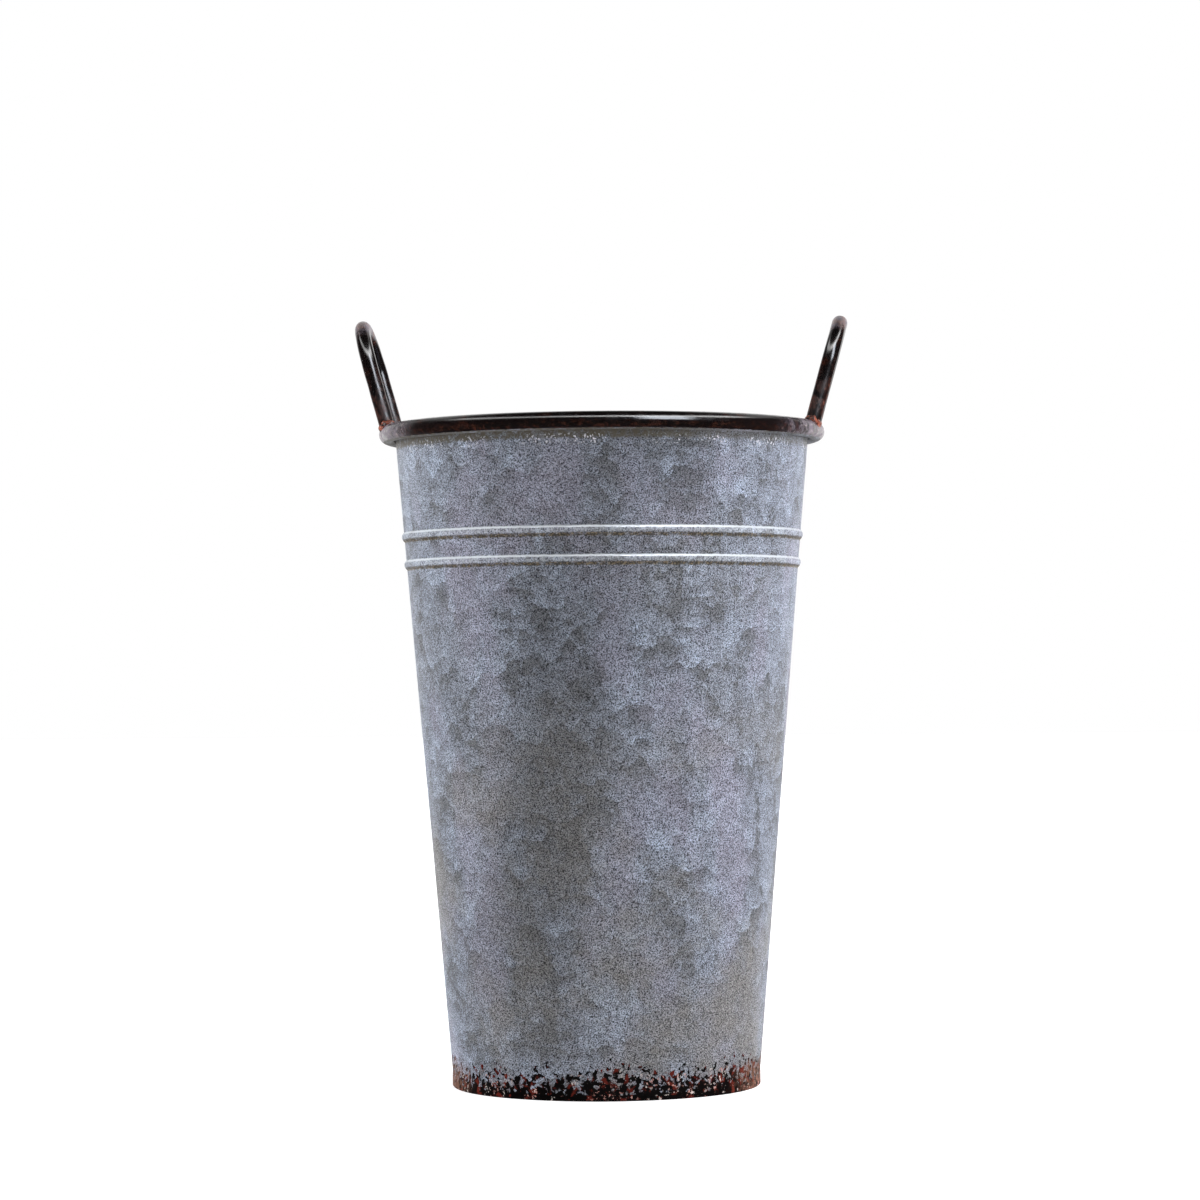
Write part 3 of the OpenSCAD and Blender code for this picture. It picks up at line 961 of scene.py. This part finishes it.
def rod_finish():
    f = Finish("dark_rod")
    low = f.ramp(f.z, 302 * MM, 332 * MM, 1.0, 0.0)
    rust = f.maths("MULTIPLY", low, f.ramp(f.noise(240, 4.0, 0.65), 0.44, 0.60))
    colour = f.blend(rust, paint_colour(f), ROD_RUST)
    bright = f.maths("MULTIPLY", rust, f.ramp(f.noise(650, 2.0, 0.6), 0.54, 0.66, 0.0, 0.8))
    colour = f.blend(bright, colour, ROD_RUST_BRIGHT)
    cap = f.ramp(f.maths("MULTIPLY_ADD", f.noise(170, 4.0, 0.7), 9 * MM, f.z), 344.5 * MM, 350 * MM)
    wear_and_reflection = f.maths("MULTIPLY", cap, f.ramp(f.noise(420, 4.0, 0.7), 0.40, 0.58, 0.45, 0.95))
    cap_tone = f.blend(f.ramp(f.noise(260, 3.0, 0.6), 0.42, 0.60), CAP_LILAC, CAP_PINK)
    colour = f.blend(wear_and_reflection, colour, cap_tone)
    gloss = f.maths("MULTIPLY_ADD", low, 0.16, 0.14)
    rough = f.value_mix(f.maths("MAXIMUM", wear_and_reflection, rust), gloss, 0.48)
    rough = f.maths("MULTIPLY_ADD", f.noise(300, 2.0), 0.08, rough)
    f.set(Base_Color=colour, Roughness=rough, Metallic=0.0, Specular_IOR_Level=1.0)
    f.bump(f.noise(150, 1.0, 0.5), 0.03 * MM)
    return f


for rod in handles:
    lay(rod, rod_finish())

# %% [markdown]
# ## Welds
# Paint never holds well on a weld, so rust comes through most of it, with a few pale, bare spots.
# A stronger relief than elsewhere gives the beaded, spattered surface.

# %% Weld finish
WELD_RUST = (0.30, 0.075, 0.040)
WELD_PALE = (0.55, 0.40, 0.36)


def weld_finish():
    f = Finish("rusty_weld")
    colour = f.blend(f.ramp(f.noise(520, 3.0, 0.6), 0.40, 0.62), PAINT_DARK, WELD_RUST)
    colour = f.blend(f.ramp(f.noise(760, 2.0, 0.5), 0.60, 0.68, 0.0, 0.6), colour, WELD_PALE)
    f.set(Base_Color=colour, Roughness=f.ramp(f.noise(400, 2.0), 0.3, 0.7, 0.32, 0.60), Metallic=0.0)
    f.bump(f.noise(700, 3.0, 0.6), 0.35 * MM)
    return f


for bead in welds:
    lay(bead, weld_finish())

# %% [markdown]
# ## Floor
# A plain pale sheet of paper that glows a little, as a lit studio floor does. Near the bucket the
# glow is low, so that the wall stays darker towards the foot. It rises to the brightness of the
# backdrop further out, which hides the horizon.

# %% Floor
FLOOR_HALF = 9.0
FLOOR_GLOW = 0.50
GLOW_NEAR, GLOW_FAR = 0.6, 2.4
floor_points = [[-FLOOR_HALF, -FLOOR_HALF, 0], [FLOOR_HALF, -FLOOR_HALF, 0],
                [FLOOR_HALF, FLOOR_HALF, 0], [-FLOOR_HALF, FLOOR_HALF, 0]]
ground = make_piece("studio_floor", floor_points, np.array([[0, 1, 2, 3]]), closed=False)
paper = Finish("white_paper")
distance = paper.node("VectorMath", {0: paper.place}, operation="LENGTH").outputs["Value"]
paper.set(Base_Color=(0.92, 0.92, 0.92), Roughness=0.9, Emission_Color=(1.0, 1.0, 1.0),
          Emission_Strength=paper.ramp(distance, GLOW_NEAR, GLOW_FAR, FLOOR_GLOW, 1.0))
lay(ground, paper)
ground.visible_glossy = False

# %% [markdown]
# ## Lamps
# Dull zinc and glossy paint want different light. Two tall soft boxes at the sides, a little behind
# the bucket, draw the light edges of the round wall, and a weak one above fills in. Mirrored in the
# paint they would be hard stripes, so glossy surfaces don't see them. The reverse holds for the
# streak lamp: it shows only as the long highlight on the rods and the sheen on the zinc.

# %% Lamps
MIDDLE = (0, 0, 0.20)


def soft_box(name, place, width, tall, power, tint):
    """A rectangular lamp that faces the middle of the bucket."""
    lamp = bpy.data.lights.new(name, "AREA")
    lamp.shape = "RECTANGLE"
    lamp.size, lamp.size_y, lamp.energy, lamp.color = width, tall, power, tint
    box = bpy.data.objects.new(name, lamp)
    bpy.context.scene.collection.objects.link(box)
    box.location = place
    box.rotation_euler = (Vector(MIDDLE) - Vector(place)).to_track_quat("-Z", "Y").to_euler()
    print(f"{name}: {power:.1f} W")
    return box


matt_lamps = [soft_box("soft_left", (-1.60, 0.45, 0.60), 0.35, 1.0, 42.0, (0.95, 0.98, 1.0)),
              soft_box("soft_edge", (1.60, 0.45, 0.60), 0.35, 1.0, 51.0, (0.96, 0.97, 1.0)),
              soft_box("soft_above", (0.45, -0.55, 1.70), 0.6, 0.4, 3.5, (0.97, 0.98, 1.0))]
for lamp_box in matt_lamps:
    lamp_box.visible_glossy = False
streak_lamp = soft_box("streak", (1.02, -1.40, 1.10), 0.80, 1.20, 24.0, (0.86, 0.91, 1.0))
streak_lamp.visible_diffuse = False

# %% [markdown]
# ## The room
# The same split goes for the air around. Matt surfaces are lit by a pale room that is darker towards
# the camera and below the horizon. Polished ones mirror a dark room with a bright band at half
# height, which draws the fine line along the roll, and a pale wall far behind. The camera itself
# sees plain white.

# %% World
FRONT_GLOW, BACK_GLOW, TOP_GLOW = 0.18, 0.30, 0.30
BAND_GLOW, FAR_GLOW, FAR_LEFT_GLOW = 7.0, 1.3, 0.4
world = bpy.data.worlds.new("studio_air")
bpy.context.scene.world = world
world.use_nodes = True
air = Nodes(world.node_tree)
way_x, way_y, way_z = air.node("SeparateXYZ", {0: air.node("TexCoord").outputs["Generated"]}).outputs

around = air.maths("MULTIPLY", air.ramp(way_y, -0.35, 0.45, FRONT_GLOW, BACK_GLOW),
                   air.ramp(way_z, -0.12, 0.02, 0.12, 1.0))
matt_glow = air.maths("ADD", around, air.ramp(way_z, 0.55, 0.95, 0.0, TOP_GLOW))

band = air.maths("MULTIPLY", air.ramp(way_z, 0.59, 0.66, 0.0, BAND_GLOW),
                 air.ramp(way_z, 0.73, 0.80, 1.0, 0.0))
band = air.maths("MULTIPLY", band, air.ramp(way_x, -0.5, 0.1, 0.5, 1.0))
band = air.maths("MULTIPLY", band, air.ramp(way_y, -0.1, 0.3, 1.0, 0.1))
far = air.ramp(way_y, 0.62, 0.90, 0.0, FAR_GLOW)
far_left = air.maths("MULTIPLY", air.ramp(way_y, 0.35, 0.70, 0.0, FAR_LEFT_GLOW),
                     air.ramp(way_x, -0.30, -0.10, 1.0, 0.0))
far = air.maths("MULTIPLY", air.maths("MAXIMUM", far, far_left), air.ramp(way_z, -0.45, -0.15, 0.2, 1.0))
mirrored = air.maths("ADD", band, far)

rays = air.node("LightPath").outputs
glow = air.value_mix(rays["Is Glossy Ray"], matt_glow, mirrored)
shown = air.value_mix(rays["Is Camera Ray"], glow, 1.0)
backdrop = air.tree.nodes["Background"]
air.feed(backdrop.inputs["Color"], (1.0, 1.0, 1.0))
air.feed(backdrop.inputs["Strength"], shown)
print("world:", len(air.tree.nodes), "nodes")

# %% [markdown]
# ## Camera
# It stands 1.7 m in front of the bucket, a little above half its height, with a long lens, so the
# rim is seen as a very flat curve. It could be placed by its coordinates, but a turn about the
# axis, a distance and a height can be changed one at a time.

# %% Camera
CAMERA_AZIMUTH = math.radians(2.85)
CAMERA_DISTANCE = 1.6987
CAMERA_HEIGHT = 0.1877
CAMERA_SIDE = -0.00136
CAMERA_PITCH = 0.0192
CAMERA_ROLL = -0.0076
LENS_MM, SENSOR_MM = 111.73, 36.0
forward = Vector((-math.sin(CAMERA_AZIMUTH), math.cos(CAMERA_AZIMUTH), 0))
right = Vector((math.cos(CAMERA_AZIMUTH), math.sin(CAMERA_AZIMUTH), 0))
looking = forward * math.cos(CAMERA_PITCH) + Vector((0, 0, math.sin(CAMERA_PITCH)))
above = right.cross(looking)
lens = bpy.data.cameras.new("camera")
lens.lens, lens.sensor_width = LENS_MM, SENSOR_MM
lens.clip_start, lens.clip_end = 0.05, 60.0
camera = bpy.data.objects.new("camera", lens)
bpy.context.scene.collection.objects.link(camera)
turned_camera = Matrix((right, above, -looking)).transposed() @ Matrix.Rotation(CAMERA_ROLL, 3, "Z")
camera.matrix_world = turned_camera.to_4x4()
camera.location = right * CAMERA_SIDE - forward * CAMERA_DISTANCE + Vector((0, 0, CAMERA_HEIGHT))
bpy.context.scene.camera = camera
bpy.context.scene.view_settings.view_transform = "Standard"
print("camera:", [round(value, 3) for value in camera.location])
